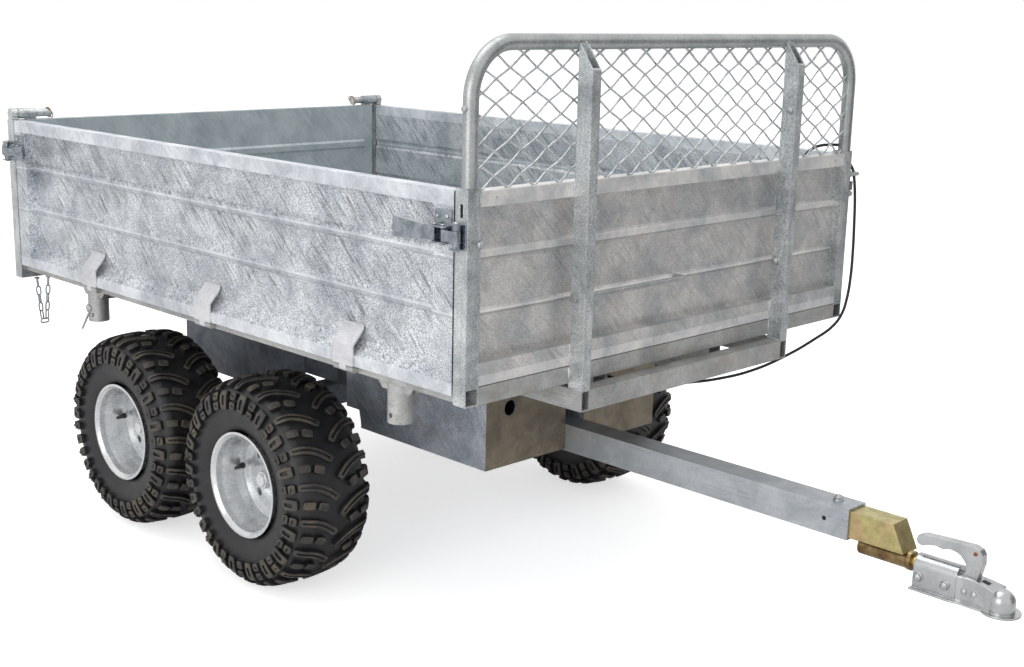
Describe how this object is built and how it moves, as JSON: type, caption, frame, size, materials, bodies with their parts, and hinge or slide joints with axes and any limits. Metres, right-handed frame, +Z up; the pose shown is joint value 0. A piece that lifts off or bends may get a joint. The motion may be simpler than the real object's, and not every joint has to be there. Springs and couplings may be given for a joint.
{
  "type": "tandem-axle dump trailer",
  "caption": "Galvanised tandem-axle tipping trailer with drop sides, top-hung tailgate, mesh headboard, square drawbar and swivelling ball coupling.",
  "frame": {"origin": "on the ground, centred on the overall length and width", "axes": "+X towards the coupling, +Y to the trailer's left, +Z up"},
  "size_m": [3.001, 1.4985, 1.4462],
  "materials": {
    "galvanised": "satin",
    "dark_steel": "satin",
    "yellow_zinc": "satin",
    "bright_zinc": "polished",
    "tyre": "matte",
    "rim_paint": "satin",
    "cable": "matte"
  },
  "bodies": {
    "chassis": {"chassis_frame": "dark_steel", "bogie_axle": "dark_steel", "bogie_beam_right": "dark_steel", "bogie_beam_left": "dark_steel", "power_box_right": "galvanised", "power_box_left": "galvanised", "drawbar": "galvanised", "hitch_insert": "yellow_zinc"},
    "coupling": {"coupling_shaft": "yellow_zinc", "coupling_head": "bright_zinc", "coupling_handle": "bright_zinc"},
    "bed": {"bed_frame": "galvanised", "bed_sills": "galvanised", "bed_floor": "galvanised", "front_wall": "galvanised", "corner_posts": "galvanised", "headboard_bow": "galvanised", "headboard_mesh": "bright_zinc", "uprights": "galvanised", "outrigger": "galvanised", "cross_rod": "bright_zinc", "leg_sockets": "galvanised", "tailgate_pins": "galvanised", "latch_catches": "bright_zinc", "hanging_chains": "bright_zinc", "control_cable": "cable", "control_pendant": "cable", "cable_fittings": "galvanised"},
    "side_right": {"side_board_right": "galvanised", "side_straps_right": "galvanised", "side_latches_right": "bright_zinc"},
    "side_left": {"side_board_left": "galvanised", "side_straps_left": "galvanised", "side_latches_left": "bright_zinc"},
    "rear_gate": {"tailgate": "galvanised", "tailgate_sleeves": "galvanised"},
    "wheel_front_right": {"tyre_front_right": "tyre", "rim_front_right": "rim_paint"},
    "wheel_rear_right": {"tyre_rear_right": "tyre", "rim_rear_right": "rim_paint"},
    "wheel_front_left": {"tyre_front_left": "tyre", "rim_front_left": "rim_paint"},
    "wheel_rear_left": {"tyre_rear_left": "tyre", "rim_rear_left": "rim_paint"},
    "barrel": {"cylinder_barrel": "dark_steel"},
    "piston_rod": {"cylinder_rod": "bright_zinc"}
  },
  "joints": [
    {"name": "bed_tip", "type": "hinge", "parent": "chassis", "child": "bed", "pos_m": [-1.1135, 0, 0.541], "axis": [0, -1, 0], "range_deg": [0, 48]},
    {"name": "side_right_fold", "type": "hinge", "parent": "bed", "child": "side_right", "pos_m": [-0.4455, -0.716, 0.68], "axis": [1, 0, 0], "range_deg": [0, 155]},
    {"name": "side_left_fold", "type": "hinge", "parent": "bed", "child": "side_left", "pos_m": [-0.4455, 0.716, 0.68], "axis": [-1, 0, 0], "range_deg": [0, 155]},
    {"name": "rear_gate_swing", "type": "hinge", "parent": "bed", "child": "rear_gate", "pos_m": [-1.4495, 0, 1.148], "axis": [0, 1, 0], "range_deg": [0, 100]},
    {"name": "front_right_spin", "type": "hinge", "parent": "chassis", "child": "wheel_front_right", "pos_m": [-0.2635, -0.612, 0.279], "axis": [0, 1, 0], "continuous": true},
    {"name": "rear_right_spin", "type": "hinge", "parent": "chassis", "child": "wheel_rear_right", "pos_m": [-0.8745, -0.612, 0.279], "axis": [0, 1, 0], "continuous": true},
    {"name": "front_left_spin", "type": "hinge", "parent": "chassis", "child": "wheel_front_left", "pos_m": [-0.2635, 0.612, 0.279], "axis": [0, 1, 0], "continuous": true},
    {"name": "rear_left_spin", "type": "hinge", "parent": "chassis", "child": "wheel_rear_left", "pos_m": [-0.8745, 0.612, 0.279], "axis": [0, 1, 0], "continuous": true},
    {"name": "coupling_swivel", "type": "hinge", "parent": "chassis", "child": "coupling", "pos_m": [1.2165, 0, 0.3393], "axis": [1, 0, 0], "continuous": true},
    {"name": "barrel_tilt", "type": "hinge", "parent": "chassis", "child": "barrel", "pos_m": [-0.8635, 0, 0.421], "axis": [0, -1, 0], "range_deg": [-0.5, 54.4]},
    {"name": "rod_slide", "type": "slide", "parent": "barrel", "child": "piston_rod", "axis": [0.9452, 0, 0.3265], "range_m": [-0.001, 0.2154]}
  ],
  "couplings": [
    {"joint": "barrel_tilt", "follows": "bed_tip", "ratio": 1.1231},
    {"joint": "rod_slide", "follows": "bed_tip", "m_per_rad": 0.25592}
  ]
}
